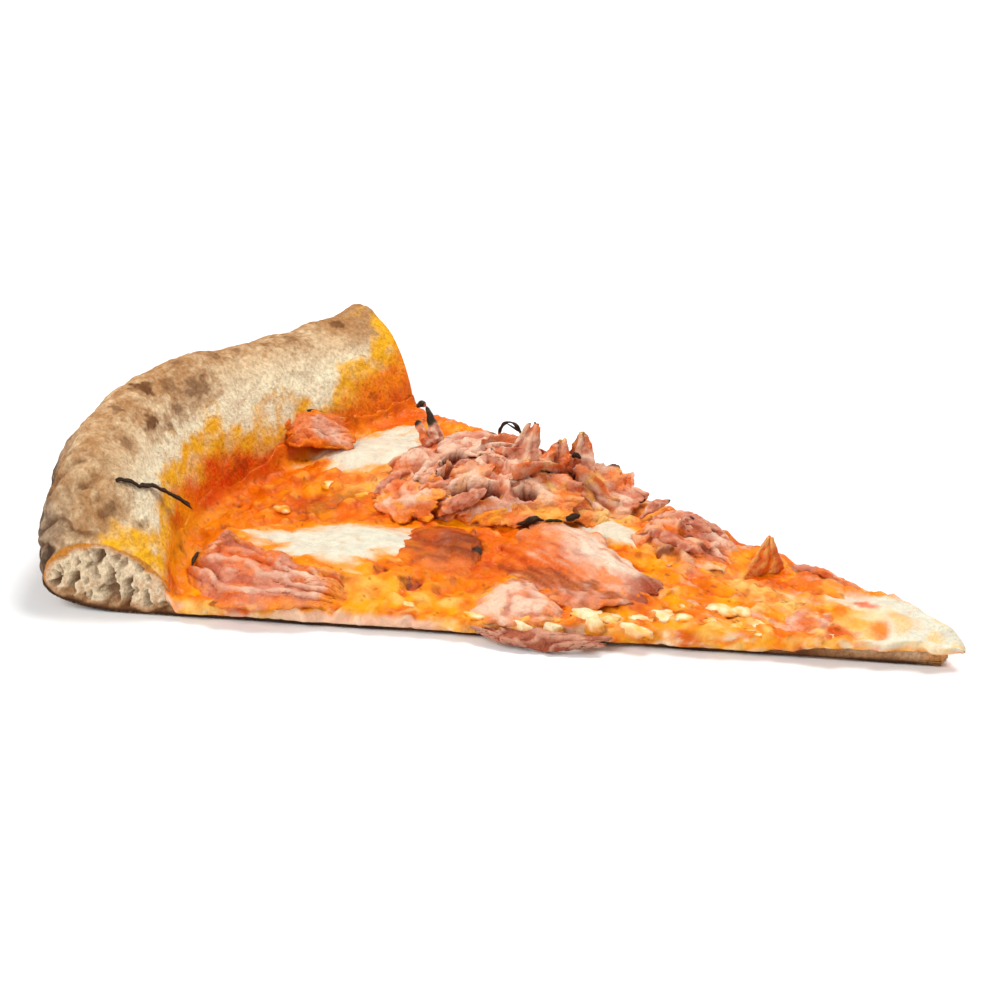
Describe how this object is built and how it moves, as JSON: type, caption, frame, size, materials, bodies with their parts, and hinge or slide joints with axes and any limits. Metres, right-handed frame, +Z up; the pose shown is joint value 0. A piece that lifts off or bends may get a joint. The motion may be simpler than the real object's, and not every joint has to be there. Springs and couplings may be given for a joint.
{
  "type": "pizza slice",
  "caption": "Wedge of baked pizza with a tall puffed rim, a melted orange cheese layer, white mozzarella pools and torn, crumpled ham with charred tips.",
  "frame": {"origin": "on the floor, under the middle of the slice's box", "axes": "+X from the rim towards the tip, +Y towards the far cut edge, away from the cut with the drooping cheese, +Z up"},
  "size_m": [0.1629, 0.1012, 0.028],
  "materials": {
    "dough": "baked, flour-dusted and matt",
    "cheese": "melted and oily",
    "mozzarella": "melted, moist and creamy",
    "ham": "moist cooked ham",
    "char": "charred"
  },
  "bodies": {
    "root": {"cheese": "cheese", "dough": "dough", "ham_brown": "ham", "ham_centre": "ham", "ham_edge": "ham", "ham_front": "ham", "ham_hanging": "ham", "ham_heap": "ham", "ham_right": "ham", "ham_rim": "ham", "ham_spike": "ham", "ham_strip": "ham", "ham_tip": "ham", "mozzarella_far": "mozzarella", "mozzarella_left": "mozzarella", "mozzarella_middle": "mozzarella", "mozzarella_tip": "mozzarella", "shred": "char"}
  },
  "joints": []
}
